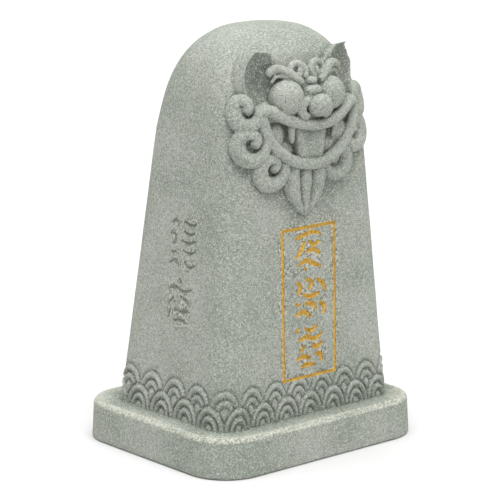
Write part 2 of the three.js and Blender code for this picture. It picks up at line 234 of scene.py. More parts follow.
def roll(places, widths):  # a round bar of clay along a smooth curve, with a width at each place
    letGo()
    bpy.ops.curve.primitive_bezier_curve_add(location=(0, 0, 0))
    bar = bpy.context.object
    bar.data.dimensions = "3D"
    line = bar.data.splines[0]
    line.bezier_points.add(len(places) - 2)
    line.radius_interpolation = "EASE"
    line.resolution_u = 6
    for knot, place, width in zip(line.bezier_points, places, widths):
        knot.co = place
        knot.radius = width
    for knot in line.bezier_points:
        knot.handle_left_type = knot.handle_right_type = "AUTO"
    bar.data.bevel_depth = mm
    bar.data.bevel_resolution = 5
    bar.data.use_fill_caps = True
    bpy.ops.object.convert(target="MESH")
    return bpy.context.object


def lump(place, size, lean=(0, 0, 0)):  # an egg-shaped lump of the given half sizes
    letGo()
    bpy.ops.mesh.primitive_uv_sphere_add(
        segments=40, ring_count=20, radius=1, location=place, rotation=lean)
    egg = bpy.context.object
    egg.scale = Vector(size) * mm
    return settle(egg)


# A curl winds in from the lip to its boss: (outward, up, half width of the roll), about its eye.
curlPath = [
    (-8.6, 1.6, 2.3), (-8.3, -2.6, 2.8), (-5.6, -6.2, 3.3), (-0.9, -7.6, 3.7), (3.5, -6.0, 4.0),
    (5.5, -2.0, 4.2), (4.4, 2.2, 3.6), (1.0, 4.3, 3.0), (-2.0, 3.6, 2.7), (-3.2, 1.5, 2.6),
    (-2.1, -0.3, 2.4), (-1.2, -1.2, 1.9),
]
curlTop = {-1: 4.8, 1: 3.1}  # how far the rolls stand out of the wall, left and right
curls = [  # where each eye is, and how the curl is stretched towards the mouth, outwards and upwards
    {"across": 34.3, "height": 165.8, "shift": -0.2,
     "inward": 0.76, "outward": {-1: 0.72, 1: 0.95}, "tall": 0.97},
    {"across": 32.0, "height": 150.9, "shift": -0.8,
     "inward": 0.78, "outward": {-1: 1.0, 1: 0.94}, "tall": 1.02},
    {"across": 21.5, "height": 138.7, "shift": -1.7,
     "inward": 0.98, "outward": {-1: 0.97, 1: 1.0}, "tall": 1.0},
]


def makeCurl(side, curl):
    places, widths = [], []
    for outward, up, width in curlPath:
        stretch = curl["outward"][side] if outward > 0 else curl["inward"]
        across = curl["shift"] + side * (curl["across"] + outward * stretch)
        places.append(onFace(across, curl["height"] + up * curl["tall"], curlTop[side] - width))
        widths.append(width)
    return [roll(places, widths)]


upperLip = [
    (-28.4, 163.6, 1.6, 2.4), (-26.4, 165.0, 2.4, 2.9), (-23.0, 164.6, 3.4, 3.0), (-19.2, 162.7, 4.2, 2.9),
    (-13.8, 160.0, 5.2, 2.7), (-6.5, 157.7, 6.0, 2.6), (0.4, 156.7, 6.2, 2.6), (9.0, 157.2, 6.0, 2.6),
    (16.0, 159.4, 5.2, 2.6), (22.2, 163.0, 4.0, 2.6), (26.2, 165.2, 3.0, 2.5), (28.8, 163.6, 2.0, 2.2),
]
lowerLip = [
    (-27.4, 164.0, 1.8, 2.6), (-26.8, 160.0, 2.0, 3.0), (-25.9, 155.2, 2.3, 3.0), (-22.6, 149.6, 2.8, 3.0),
    (-17.6, 144.9, 3.4, 2.9), (-11.1, 141.0, 3.9, 2.8), (-2.3, 138.9, 4.3, 2.8), (6.0, 138.9, 4.3, 2.8),
    (12.7, 140.8, 4.0, 2.8), (20.3, 145.5, 3.3, 2.7), (25.4, 151.8, 2.6, 2.6), (28.2, 158.2, 2.2, 2.5),
    (28.8, 162.6, 2.0, 2.3),
]
brow = [
    (21.0, 180.4, 1.6, 1.6), (19.4, 182.2, 2.4, 2.0), (16.4, 183.1, 3.2, 2.1), (13.6, 182.2, 4.0, 2.0),
    (11.0, 180.3, 4.7, 1.9), (8.4, 178.1, 5.3, 1.8), (5.2, 176.6, 5.5, 1.5),
]
browCurl = [
    (3.4, 178.2, 5.2, 1.2), (2.0, 180.0, 5.0, 1.6), (2.3, 182.7, 4.6, 1.8), (4.6, 184.4, 4.2, 1.8),
    (7.7, 184.5, 4.0, 1.6), (9.8, 182.8, 4.0, 1.5), (9.4, 180.6, 4.3, 1.5), (7.2, 179.6, 4.6, 1.5),
    (5.2, 180.2, 4.6, 1.5), (4.9, 181.6, 4.5, 1.4), (6.2, 182.2, 4.4, 1.2),
]


def alongFace(side, path):
    places = [onFace(side * across, height, proud) for across, height, proud, width in path]
    return roll(places, [width for across, height, proud, width in path])


lidFold = [
    (20.0, 177.0, 1.6, 0.7), (17.6, 179.6, 2.6, 0.9), (13.8, 179.4, 3.8, 0.9), (10.4, 177.2, 4.6, 0.7),
]


def makeBrow(side):
    return [alongFace(side, path) for path in (brow, browCurl, lidFold)]


eyes = {
    "across": {-1: 13.3, 1: 12.5},  # left and right
    "height": 169.8,
    "proud": 2.6,
    "size": {-1: (8.8, 7.5, 8.4), 1: (8.2, 7.5, 8.0)},
}
cheeks = {"across": 18.5, "height": 163.6, "proud": -1.4, "size": (11.0, 4.6, 5.4), "turn": 0.2}


def makeEye(side):
    eye = onFace(side * eyes["across"][side], eyes["height"], eyes["proud"])
    cheek = onFace(side * cheeks["across"], cheeks["height"], cheeks["proud"])
    return [
        lump(eye, eyes["size"][side]),
        lump(cheek, cheeks["size"], (0, 0, side * cheeks["turn"])),
    ]


nose = {
    "lumps": [  # a place on the face and the half sizes
        ((1.6, 165.8, 8.2), (6.5, 5.0, 5.3)),  # the tip
        ((0, 172.7, 6.2), (4.9, 3.6, 2.5)),  # folds up the bridge
        ((0, 177.0, 5.4), (3.3, 3.2, 1.8)),
        ((0, 168.6, 4.2), (6.8, 4.6, 5.0)),
        ((0, 170.0, 0.0), (7.0, 6.0, 12.0)),
        ((0, 161.0, 0.6), (15.0, 5.6, 5.6)),  # the muzzle behind the upper lip
    ],
    "wing": [
        (3.4, 168.6, 8.0, 1.5), (6.4, 168.0, 7.4, 2.3), (8.3, 165.4, 6.8, 2.6), (7.2, 162.2, 7.0, 2.2),
        (4.4, 160.9, 7.4, 1.5),
    ],
}


def makeNose():
    parts = [lump(onFace(*place), size) for place, size in nose["lumps"]]
    return parts + [alongFace(side, nose["wing"]) for side in (-1, 1)]


tongue = {"height": 150.0, "proud": 0.6, "halfSize": (9.7, 4.4, 9.0), "endWidth": 0.78, "edgeRound": 1.6}


def makeTongue():  # the broad tongue between the fangs, narrower at its lower end
    letGo()
    bpy.ops.mesh.primitive_cube_add(size=2, location=onFace(0, tongue["height"], tongue["proud"]))
    plate = bpy.context.object
    plate.scale = Vector(tongue["halfSize"]) * mm
    settle(plate)
    bpy.ops.object.mode_set(mode="EDIT")
    bpy.ops.mesh.select_mode(type="VERT")
    bpy.ops.mesh.select_all(action="DESELECT")
    shape = bmesh.from_edit_mesh(plate.data)
    for spot in shape.verts:
        spot.select_set(spot.co.z < tongue["height"] * mm)
    bmesh.update_edit_mesh(plate.data)
    lowEnd = onFace(0, tongue["height"] - tongue["halfSize"][2], 0)
    bpy.ops.transform.resize(value=(tongue["endWidth"], 1, 1), center_override=lowEnd)
    bpy.ops.mesh.select_all(action="SELECT")
    bpy.ops.mesh.bevel(offset=tongue["edgeRound"] * mm, segments=4, affect="EDGES")
    bpy.ops.object.mode_set(mode="OBJECT")
    return plate


mouth = {
    "chin": ((0, 142.0, 0.2), (8.0, 3.8, 3.6)),
    "sides": [  # a place on the face, the half sizes and the lean
        ((19.6, 151.2, -0.2), (5.4, 3.2, 8.0), -0.42),
        ((13.2, 145.4, -1.0), (5.4, 3.4, 4.6), -0.6),
    ],
    "fangs": {
        -1: [
            (11.8, 158.6, 4.0, 1.9), (12.2, 155.4, 4.2, 1.8), (12.0, 152.0, 4.0, 1.5),
            (11.4, 149.2, 3.6, 0.9),
        ],
        1: [
            (15.8, 158.6, 3.2, 1.7), (15.4, 155.4, 3.5, 1.6), (14.7, 152.0, 3.3, 1.2),
            (14.0, 149.6, 2.8, 0.7),
        ],
    },
}


def makeMouth():
    place, size = mouth["chin"]
    parts = [makeTongue(), lump(onFace(*place), size)]
    for side in (-1, 1):
        for (across, height, proud), size, lean in mouth["sides"]:
            parts.append(lump(onFace(side * across, height, proud), size, (0, side * lean, 0)))
        parts.append(alongFace(side, mouth["fangs"][side]))
    return parts


# The goatee's middle lobe, and an outer lobe that is used on both sides.
middleLobe = [
    (-1.9, 138.5, 0.8, 3.5), (-1.9, 131.0, 1.3, 3.5), (-1.8, 124.0, 1.2, 2.7), (-1.3, 118.0, 0.9, 1.6),
    (-0.7, 113.2, 0.3, 0.5),
]
outerLobe = [
    (7.4, 138.5, 0.2, 4.4), (8.0, 131.8, 0.4, 4.6), (6.9, 125.4, 0.3, 4.0), (4.0, 119.4, 0.3, 2.5),
    (0.9, 114.4, 0.2, 0.7),
]
outerDrift = [-1.9, -1.9, -1.8, -1.4, -0.9]  # how far the outer lobes sit from the middle line


def makeGoatee():
    parts = [alongFace(1, middleLobe)]
    for side in (-1, 1):
        lobe = [(side * across + drift, height, proud, width)
                for (across, height, proud, width), drift in zip(outerLobe, outerDrift)]
        parts.append(alongFace(1, lobe))
    return parts


ears = {
    "rim": [  # across, depth and height, from the tip down the outer edge
        (27.5, -37.0, 192.0), (30.6, -36.4, 188.0), (32.6, -35.0, 183.6), (33.8, -33.6, 179.6),
        (34.6, -32.8, 176.0), (34.4, -32.8, 172.8), (32.0, -34.4, 169.6), (28.4, -36.6, 167.6),
        (23.6, -38.4, 167.6), (20.0, -39.0, 170.4), (18.6, -38.8, 175.4), (15.6, -38.0, 180.4),
        (12.8, -37.4, 184.4), (15.4, -37.4, 187.0), (18.2, -37.4, 189.2), (22.2, -37.4, 191.2),
    ],
    "forward": 0.8,
    "root": (0, 16, -4),  # how far the leaf runs back into the dome
    "spread": {-1: 1.0, 1: 0.98},
    "hollow": (25.0, -39.6, 178.6),
    "hollowSize": (9.4, 6.4, 13.8),
    "hollowTip": -0.08,
    "hollowTurn": 0.34,
}


def earPlace(side, across, depth, height):
    return Vector((face["middleX"] + side * across * ears["spread"][side], depth, height)) * mm


def makeScoop(side):
    turn = (ears["hollowTip"], 0, side * ears["hollowTurn"])
    return lump(earPlace(side, *ears["hollow"]), ears["hollowSize"], turn)


def makeEar(side):
    letGo()
    bpy.ops.mesh.primitive_circle_add(vertices=len(ears["rim"]), radius=1, fill_type="NGON")
    ear = bpy.context.object
    around = sorted(ear.data.vertices, key=lambda spot: math.atan2(spot.co.y, spot.co.x))
    for spot, (across, depth, height) in zip(around, ears["rim"]):
        spot.co = earPlace(side, across, depth - ears["forward"], height)
    bpy.ops.object.mode_set(mode="EDIT")
    bpy.ops.mesh.select_all(action="SELECT")
    bpy.ops.mesh.extrude_region_move(TRANSFORM_OT_translate={"value": Vector(ears["root"]) * mm})
    bpy.ops.mesh.select_all(action="SELECT")
    bpy.ops.mesh.quads_convert_to_tris()
    bpy.ops.mesh.normals_make_consistent(inside=False)
    bpy.ops.object.mode_set(mode="OBJECT")
    carve(ear, makeScoop(side))
    return [ear]


# The wave scales that are pressed into the foot of the block.
scales = {
    "alongFront": 7.0,  # how many between two corners
    "alongSide": 4.5,
    "archHeight": 10.9,
    "upperLift": 8.0,
    "depth": 0.76,
    "proudLimit": 1.2,  # what stands further off the wall is left as it is
    "fadeOver": 0.6,
}
# The cut from the eye of a scale (0) to its outer edge (1), as a height above or below the wall.
scaleCut = [
    (0.00, 0.75), (0.16, 0.50), (0.26, -0.90), (0.33, -0.80), (0.42, 0.60), (0.50, 0.85), (0.56, 0.45),
    (0.62, -0.90), (0.69, -0.80), (0.77, 0.60), (0.86, 1.00), (0.93, 0.60), (1.00, -0.80), (1.06, -0.70),
    (1.15, 0.0),
]
cutReach = [reach for reach, height in scaleCut]
cutHeight = [height for reach, height in scaleCut]


def footWalk(x, y, z):  # how many scales along from the front left corner, and the way out
    wide, deep, middleY, corner = blockSection(z)
    flatX, flatY = wide - corner, deep - corner
    nearX = min(max(x, -flatX), flatX)
    nearY = min(max(y - middleY, -flatY), flatY)
    outX, outY = x - nearX, y - middleY - nearY
    if abs(outX) < 1e-6 and abs(outY) < 1e-6:
        return None
    facing = math.atan2(outY, outX) + math.pi / 2
    side = round(facing / (math.pi / 2)) % 4
    lean = (facing - side * math.pi / 2 + math.pi) % (2 * math.pi) - math.pi
    slide = (nearX, nearY, -nearX, -nearY)[side]
    half = (flatX, flatY)[side % 2]
    walked = half + slide + corner * (lean + math.pi / 4)
    share = walked / (2 * half + corner * math.pi / 2)
    counts = (scales["alongFront"], scales["alongSide"]) * 2
    return sum(counts[:side]) + counts[side] * share, Vector((outX, outY, 0)).normalized()


def archReach(walk, height, shift, lift):
    off = (walk - shift) % 1 - 0.5
    up = height - slab["height"] - lift
    return math.hypot(off / 0.5, max(up, 0.0) / scales["archHeight"])


def scaleHeight(walk, height):
    lower = archReach(walk, height, 0.0, 0.0)
    if lower < 1.0:
        return np.interp(lower, cutReach, cutHeight)
    upper = archReach(walk, height, 0.5, scales["upperLift"])
    cut = np.interp(upper, cutReach, cutHeight)
    if lower < 1.1:
        cut = min(cut, np.interp(lower, cutReach, cutHeight))
    return cut


def pressScales(stone):
    floorZ = slab["height"] - 0.2
    bandTop = slab["height"] + scales["upperLift"] + scales["archHeight"] * 1.3
    limit = scales["proudLimit"]
    for spot in stone.data.vertices:
        x, y, z = spot.co / mm
        if not floorZ < z < bandTop:
            continue
        walk = footWalk(x, y, z)
        if walk is None:
            continue
        wide, deep, middleY, corner = blockSection(z)
        if abs(x) > wide + limit or abs(y - middleY) > deep + limit:
            continue
        fade = easedStep(floorZ, slab["height"] + scales["fadeOver"], z)
        spot.co += walk[1] * scaleHeight(walk[0], z) * scales["depth"] * fade * mm


carving = {
    "grid": 0.5,  # of the clay-like merge, which sets the finest detail
    "softening": 3,
    "waves": 0.17,  # how far a hand-dressed face wanders from flat
    "waveLength": 24.0,
    "waveSeed": 7,
    "mostTriangles": 130000,
    "hollowReach": 14,  # how far round each point the hollows are judged
    "hollowDepth": 0.40,
    "smoothFoot": (2, 6),  # the waves start between these heights
    "wornDrop": 0.9,  # how far below the slab's top its worn edge runs
    "wornReach": 1.1,
    "wornBulge": (0.05, 0.13),
}


def makeStone():
    parts = [makeSlab(), makeBlock()]
    for side in (-1, 1):
        carve(parts[1], makeScoop(side))
        for curl in curls:
            parts += makeCurl(side, curl)
        parts += makeBrow(side) + makeEye(side) + makeEar(side)
    parts += makeNose() + makeMouth() + makeGoatee()
    parts += [alongFace(1, upperLip), alongFace(1, lowerLip)]
    stone = joined(parts, "guardianStone")
    print("parts of the carving laid out:", len(parts))
    stone.data.remesh_voxel_size = carving["grid"] * mm
    stone.data.use_remesh_preserve_volume = True
    bpy.ops.object.voxel_remesh()
    soften = stone.modifiers.new("soften", "SMOOTH")
    soften.factor = 0.5
    soften.iterations = carving["softening"]
    bpy.ops.object.modifier_apply(modifier=soften.name)
    pressScales(stone)
    waveLow, waveHigh = carving["smoothFoot"]
    noise.seed_set(carving["waveSeed"])  # the waves would follow the clock without it
    for spot in stone.data.vertices:
        place = spot.co / mm
        if place.z < waveLow:
            continue
        wander = noise.noise_vector(place / carving["waveLength"])
        spot.co += wander * carving["waves"] * easedStep(waveLow, waveHigh, place.z) * mm
    print("merged and pressed:", len(stone.data.vertices), "points")
    triangles = sum(len(side.vertices) - 2 for side in stone.data.polygons)
    thin = stone.modifiers.new("thin", "DECIMATE")
    thin.ratio = min(1, carving["mostTriangles"] / triangles)
    bpy.ops.object.modifier_apply(modifier=thin.name)
    return stone


# Brush marks, rows of dabs and sweeps that spell nothing, and the frame round them.
marks = {
    "frameHalfWidth": 16.1,
    "frameLow": 37.2,
    "frameHigh": 108.1,
    "frameLine": 0.8,  # half the width of the cut line
    "grid": 0.22,
    "keep": 0.35,  # share of the tool's triangles that stay
    "width": 1.15,
    "sideWidth": 0.9,
    "proud": 0.1,
    "sideMiddleY": -6.5,
}
# Each mark is a run of (across, up, fullness) about the middle of its group.
frontGroups = [
    (97.0, [
        [(-8.0, 6.4, 0.8), (-2.0, 7.8, 1.0), (4.0, 8.4, 0.9), (8.2, 6.6, 0.5)],
        [(-2.4, 4.8, 0.8), (-4.2, 1.0, 1.1), (-7.8, -3.0, 0.7)],
        [(0.4, 4.6, 0.9), (3.0, 2.6, 1.0), (7.6, 3.8, 0.6)],
        [(-1.6, -0.4, 0.7), (3.8, 0.0, 1.0), (7.4, -2.4, 0.8)],
        [(-6.6, -6.4, 0.6), (-1.4, -4.6, 1.1), (3.4, -6.6, 1.0), (7.8, -8.4, 0.6)],
        [(-3.0, -8.2, 0.9), (-1.2, -8.8, 0.5)],
    ]),
    (75.0, [
        [(-7.6, 8.2, 0.6), (-5.2, 5.4, 1.1), (-7.0, 2.0, 0.8)],
        [(-1.8, 8.8, 0.9), (1.6, 6.6, 1.1), (0.2, 3.4, 0.7)],
        [(4.6, 8.2, 0.7), (8.4, 5.6, 1.1), (10.2, 1.8, 0.7)],
        [(-4.0, 1.6, 0.7), (1.2, 0.2, 1.1), (6.6, 1.4, 0.8)],
        [(-8.4, -2.2, 0.9), (-5.4, -3.2, 0.6)],
        [(-2.6, -2.8, 0.8), (2.2, -3.6, 1.1), (4.6, -6.8, 0.6)],
        [(-8.6, -8.0, 0.6), (-3.6, -6.6, 1.1), (1.0, -9.4, 0.9)],
        [(6.4, -3.4, 0.9), (9.8, -6.2, 1.0), (8.4, -9.2, 0.6)],
    ]),
    (51.7, [
        [(-8.2, 7.2, 1.0), (-6.4, 9.4, 0.6)],
        [(-2.8, 8.8, 0.6), (0.4, 7.2, 1.1), (5.2, 9.0, 0.7)],
        [(-6.8, 3.2, 0.7), (-1.6, 4.4, 1.1), (3.4, 3.0, 1.0), (8.2, 5.2, 0.6)],
        [(-3.4, 0.6, 0.9), (-5.6, -2.8, 0.7)],
        [(1.0, 0.4, 0.7), (4.4, -1.0, 1.1), (8.0, 0.8, 0.8)],
        [(-8.0, -5.8, 0.7), (-3.4, -4.6, 1.0), (0.2, -6.2, 0.9)],
        [(3.2, -4.4, 0.8), (6.8, -5.2, 1.1), (7.6, -8.6, 0.7)],
        [(-5.4, -9.4, 0.8), (-0.6, -8.8, 1.1), (3.4, -9.6, 0.6)],
    ]),
]
sideGroups = [
    (100.9, [
        [(-8.4, 9.2, 0.7), (-5.0, 10.4, 1.0), (-3.2, 7.8, 0.6)],
        [(0.6, 10.8, 0.9), (5.0, 9.6, 1.1), (9.4, 10.8, 0.6)],
        [(-9.0, 4.4, 0.7), (-5.2, 3.2, 1.0), (-7.0, -0.6, 0.7)],
        [(0.4, 6.2, 0.7), (4.6, 5.2, 1.0), (8.4, 6.6, 0.7)],
        [(-1.2, 1.8, 0.8), (3.4, 1.0, 1.1), (8.8, 2.6, 0.6)],
        [(-8.2, -4.6, 0.8), (-4.2, -3.8, 0.9)],
        [(0.2, -2.6, 0.7), (4.8, -3.6, 1.1), (9.0, -2.0, 0.6)],
        [(-9.2, -9.8, 0.6), (-4.4, -8.0, 1.1), (-1.8, -10.4, 0.7)],
        [(1.6, -7.6, 0.9), (5.2, -10.0, 1.0), (9.2, -8.4, 0.6)],
    ]),
    (74.4, [
        [(-1.4, 10.2, 0.8), (1.0, 8.6, 1.0)],
        [(-8.6, 4.6, 0.7), (-4.0, 6.2, 1.1), (2.0, 5.0, 1.0), (8.2, 6.4, 0.6)],
        [(-4.4, 1.4, 0.8), (-7.2, -1.4, 0.6)],
        [(0.4, 2.2, 0.7), (4.6, 0.8, 1.1), (7.6, -1.6, 0.7)],
        [(-6.4, -4.6, 0.9), (-7.4, -8.8, 0.7)],
        [(-2.8, -3.8, 0.7), (1.8, -4.8, 1.1), (6.6, -3.6, 0.8)],
        [(-3.0, -9.4, 0.8), (1.4, -8.6, 1.1), (5.8, -9.8, 0.7)],
    ]),
]


def frontSpot(across, height, proud=0.0):
    wide, deep, middleY, corner = blockSection(height)
    return Vector((across, middleY - deep - proud, height)) * mm


def leftSpot(across, height, proud=0.0):
    wide, deep, middleY, corner = blockSection(height)
    return Vector((-wide - proud, marks["sideMiddleY"] - across, height)) * mm


def makeMarks(groups, spot, width):
    dabs = []
    for middle, strokes in groups:
        for stroke in strokes:
            places = [spot(across, middle + up, marks["proud"]) for across, up, fullness in stroke]
            dabs.append(roll(places, [width * fullness for across, up, fullness in stroke]))
    return dabs


def makeFrameCutter():
    wide, line = marks["frameHalfWidth"], marks["frameLine"]
    low, high = marks["frameLow"], marks["frameHigh"]
    corners = [(-wide, low), (wide, low), (wide, high), (-wide, high)]
    bars = []
    for (startX, startZ), (endX, endZ) in zip(corners, corners[1:] + corners[:1]):
        along = Vector((endX - startX, 0, endZ - startZ)).normalized() * line
        start = frontSpot(startX, startZ) - along * mm
        end = frontSpot(endX, endZ) + along * mm
        bars.append(roll([start, (start + end) / 2, end], [line] * 3))
    return bars


def cut(stone, dabs, name, finish):
    cutter = joined(dabs, name)
    cutter.data.remesh_voxel_size = marks["grid"] * mm
    bpy.ops.object.voxel_remesh()  # one closed tool out of many overlapping dabs
    thin = cutter.modifiers.new("thin", "DECIMATE")
    thin.ratio = marks["keep"]
    bpy.ops.object.modifier_apply(modifier=thin.name)
    cutter.data.materials.clear()
    cutter.data.materials.append(finish)
    stone.data.materials.append(finish)
    carve(stone, cutter)


def newFinish(name):
    finish = bpy.data.materials.new(name)
    finish.use_nodes = True
    finish.node_tree.nodes.clear()
    return finish


def addNode(tree, kind, values=None, **settings):
    node = tree.nodes.new(kind)
    for key, value in settings.items():
        setattr(node, key, value)
    for key, value in (values or {}).items():
        node.inputs[key].default_value = value
    return node


def ramp(tree, source, stops):
    node = addNode(tree, "ShaderNodeValToRGB")
    bar = node.color_ramp
    while len(bar.elements) < len(stops):
        bar.elements.new(0.5)
    for element, (place, shade) in zip(bar.elements, stops):
        element.position = place
        element.color = (*shade, 1) if isinstance(shade, tuple) else (shade, shade, shade, 1)
    tree.links.new(source, node.inputs["Fac"])
    return node


# Grain of the stone: dark, pale and green specks and pits, from the place on the stone.
def makeGrainGroup():
    group = bpy.data.node_groups.new("stoneGrain", "ShaderNodeTree")
    for name, kind, value in (("Place", "NodeSocketVector", None), ("Grain Size", "NodeSocketFloat", 0.6)):
        socket = group.interface.new_socket(name, in_out="INPUT", socket_type=kind)
        if value is not None:
            socket.default_value = value
    for name in ("Pale", "Dark", "Pits", "Rough", "Chips"):
        group.interface.new_socket(name, in_out="OUTPUT", socket_type="NodeSocketFloat")
    join = group.links.new
    entry = addNode(group, "NodeGroupInput")
    leave = addNode(group, "NodeGroupOutput")
    perMetre = addNode(group, "ShaderNodeMath", {0: 1000.0}, operation="DIVIDE")
    join(entry.outputs["Grain Size"], perMetre.inputs[1])
    cells = addNode(group, "ShaderNodeTexVoronoi", {"Randomness": 1.0})
    fine = addNode(group, "ShaderNodeTexNoise", {"Detail": 3.0, "Roughness": 0.7})
    broken = addNode(group, "ShaderNodeTexNoise", {"Detail": 2.0, "Roughness": 0.5})
    pitCells = addNode(group, "ShaderNodeTexVoronoi", {"Randomness": 1.0})
    for node, factor in ((cells, 1.0), (fine, 1.3), (broken, 0.42), (pitCells, 0.24)):
        scaled = addNode(group, "ShaderNodeMath", {1: factor}, operation="MULTIPLY")
        join(perMetre.outputs[0], scaled.inputs[0])
        join(scaled.outputs[0], node.inputs["Scale"])
        join(entry.outputs["Place"], node.inputs["Vector"])
    split = addNode(group, "ShaderNodeSeparateColor")
    join(cells.outputs["Color"], split.inputs["Color"])
    pale = ramp(group, split.outputs["Red"], [(0.60, 0.0), (0.85, 0.55), (1.0, 1.0)])
    dark = ramp(group, split.outputs["Green"], [(0.58, 0.0), (0.82, 0.55), (1.0, 1.0)])
    pits = ramp(group, pitCells.outputs["Distance"], [(0.05, 1.0), (0.13, 0.0)])
    rare = addNode(group, "ShaderNodeSeparateColor")
    join(pitCells.outputs["Color"], rare.inputs["Color"])
    few = ramp(group, rare.outputs["Red"], [(0.80, 0.0), (0.82, 1.0)])
    fewPits = addNode(group, "ShaderNodeMath", operation="MULTIPLY")
    join(pits.outputs["Color"], fewPits.inputs[0])
    join(few.outputs["Color"], fewPits.inputs[1])
    rough = addNode(group, "ShaderNodeMath", operation="ADD")
    join(fine.outputs["Fac"], rough.inputs[0])
    join(broken.outputs["Fac"], rough.inputs[1])
    join(pale.outputs["Color"], leave.inputs["Pale"])
    join(dark.outputs["Color"], leave.inputs["Dark"])
    join(fewPits.outputs[0], leave.inputs["Pits"])
    join(rough.outputs[0], leave.inputs["Rough"])
    chips = ramp(group, broken.outputs["Fac"], [(0.42, 0.0), (0.60, 1.0)])
    join(chips.outputs["Color"], leave.inputs["Chips"])
    return group


stoneColours = {
    "body": (0.380, 0.400, 0.355),
    "green": (0.262, 0.298, 0.248),
    "pale": (0.62, 0.635, 0.58),
    "dark": (0.160, 0.180, 0.148),
    # the colour of the painted shade in hollows and cut marks
    "hollow": (0.110, 0.135, 0.104),
    "worn": (0.66, 0.65, 0.545),
    "grainSize": 0.50,
    "dampCorner": (0.070, 0.090),  # how far out towards the front left corner the damp starts and ends
    "dampStrength": 0.22,
}


def stoneSurface(tree, grainGroup):
    join = tree.links.new
    place = addNode(tree, "ShaderNodeTexCoord").outputs["Object"]
    grain = addNode(tree, "ShaderNodeGroup", node_tree=grainGroup)
    grain.inputs["Grain Size"].default_value = stoneColours["grainSize"]
    join(place, grain.inputs["Place"])
    cloud = addNode(tree, "ShaderNodeTexNoise", {"Scale": 26.0, "Detail": 4.0, "Roughness": 0.6})
    join(place, cloud.inputs["Vector"])
    apart = addNode(tree, "ShaderNodeSeparateXYZ")
    join(place, apart.inputs["Vector"])
    across = addNode(tree, "ShaderNodeMath", operation="ADD")
    join(apart.outputs["X"], across.inputs[0])
    join(apart.outputs["Y"], across.inputs[1])
    start, end = stoneColours["dampCorner"]
    damp = addNode(tree, "ShaderNodeMapRange", {
        "From Min": -start, "From Max": -end, "To Max": stoneColours["dampStrength"]})
    join(across.outputs[0], damp.inputs["Value"])
    cloudy = addNode(tree, "ShaderNodeMath", operation="ADD")
    join(cloud.outputs["Fac"], cloudy.inputs[0])
    join(damp.outputs[0], cloudy.inputs[1])
    stain = ramp(tree, cloudy.outputs[0], [(0.42, 0.0), (0.72, 0.9)])
    carved = addNode(tree, "ShaderNodeAttribute", attribute_name="carved")
    split = addNode(tree, "ShaderNodeSeparateColor")
    join(carved.outputs["Color"], split.inputs["Color"])
    return grain, stain, split


def mixed(tree, factor, first, second):
    node = addNode(tree, "ShaderNodeMix", data_type="RGBA")
    sockets = [socket for socket in node.inputs if socket.type == "RGBA"]
    tree.links.new(factor, node.inputs[0])
    for socket, value in zip(sockets, (first, second)):
        if isinstance(value, tuple):
            socket.default_value = (*value, 1)
        else:
            tree.links.new(value, socket)
    return [socket for socket in node.outputs if socket.type == "RGBA"][0]


def scaled(tree, source, factor, extra=0.0):
    node = addNode(tree, "ShaderNodeMath", {1: factor, 2: extra}, operation="MULTIPLY_ADD", use_clamp=True)
    tree.links.new(source, node.inputs[0])
    return node.outputs[0]


def stoneColour(tree, grain, stain, split):
    base = mixed(tree, stain.outputs["Color"], stoneColours["body"], stoneColours["green"])
    # painted shade: the hollows of the carving are darkened towards the hollow colour, partly standing for
    # grime
    base = mixed(tree, scaled(tree, split.outputs["Red"], 0.9), base, stoneColours["hollow"])
    base = mixed(tree, scaled(tree, grain.outputs["Dark"], 0.75), base, stoneColours["dark"])
    base = mixed(tree, scaled(tree, grain.outputs["Pale"], 0.7), base, stoneColours["pale"])
    chips = addNode(tree, "ShaderNodeMath", operation="MULTIPLY")
    tree.links.new(split.outputs["Blue"], chips.inputs[0])
    tree.links.new(grain.outputs["Chips"], chips.inputs[1])
    base = mixed(tree, scaled(tree, chips.outputs[0], 0.75), base, stoneColours["worn"])
    # painted shade: the pits are darkened almost to black
    return mixed(tree, scaled(tree, grain.outputs["Pits"], 0.85), base, (0.06, 0.07, 0.05))


def stoneBump(tree, grain):
    height = addNode(tree, "ShaderNodeMath", operation="SUBTRACT")
    tree.links.new(grain.outputs["Rough"], height.inputs[0])
    tree.links.new(grain.outputs["Pits"], height.inputs[1])
    bump = addNode(tree, "ShaderNodeBump", {"Strength": 0.8, "Distance": 0.35 * mm})
    tree.links.new(height.outputs[0], bump.inputs["Height"])
    return bump.outputs["Normal"]


def makeStoneFinish(grainGroup, name, cutShadeAmount):
    finish = newFinish(name)
    tree = finish.node_tree
    grain, stain, split = stoneSurface(tree, grainGroup)
    shader = addNode(tree, "ShaderNodeBsdfPrincipled", {"Specular IOR Level": 0.25})
    leave = addNode(tree, "ShaderNodeOutputMaterial")
    colour = stoneColour(tree, grain, stain, split)
    # painted shade: the cut faces of the marks are darkened towards the hollow colour, varied by the stain
    if cutShadeAmount:
        cutShadeMask = scaled(tree, stain.outputs["Color"], 0.3, cutShadeAmount)
        colour = mixed(tree, cutShadeMask, colour, stoneColours["hollow"])
    tree.links.new(colour, shader.inputs["Base Color"])
    rough = ramp(tree, grain.outputs["Pale"], [(0.0, 0.92), (1.0, 0.70)])
    tree.links.new(rough.outputs["Color"], shader.inputs["Roughness"])
    tree.links.new(stoneBump(tree, grain), shader.inputs["Normal"])
    tree.links.new(shader.outputs["BSDF"], leave.inputs["Surface"])
    return finish


gold = {"bright": (0.80, 0.51, 0.09), "deep": (0.46, 0.28, 0.045), "wear": (0.62, 0.70)}


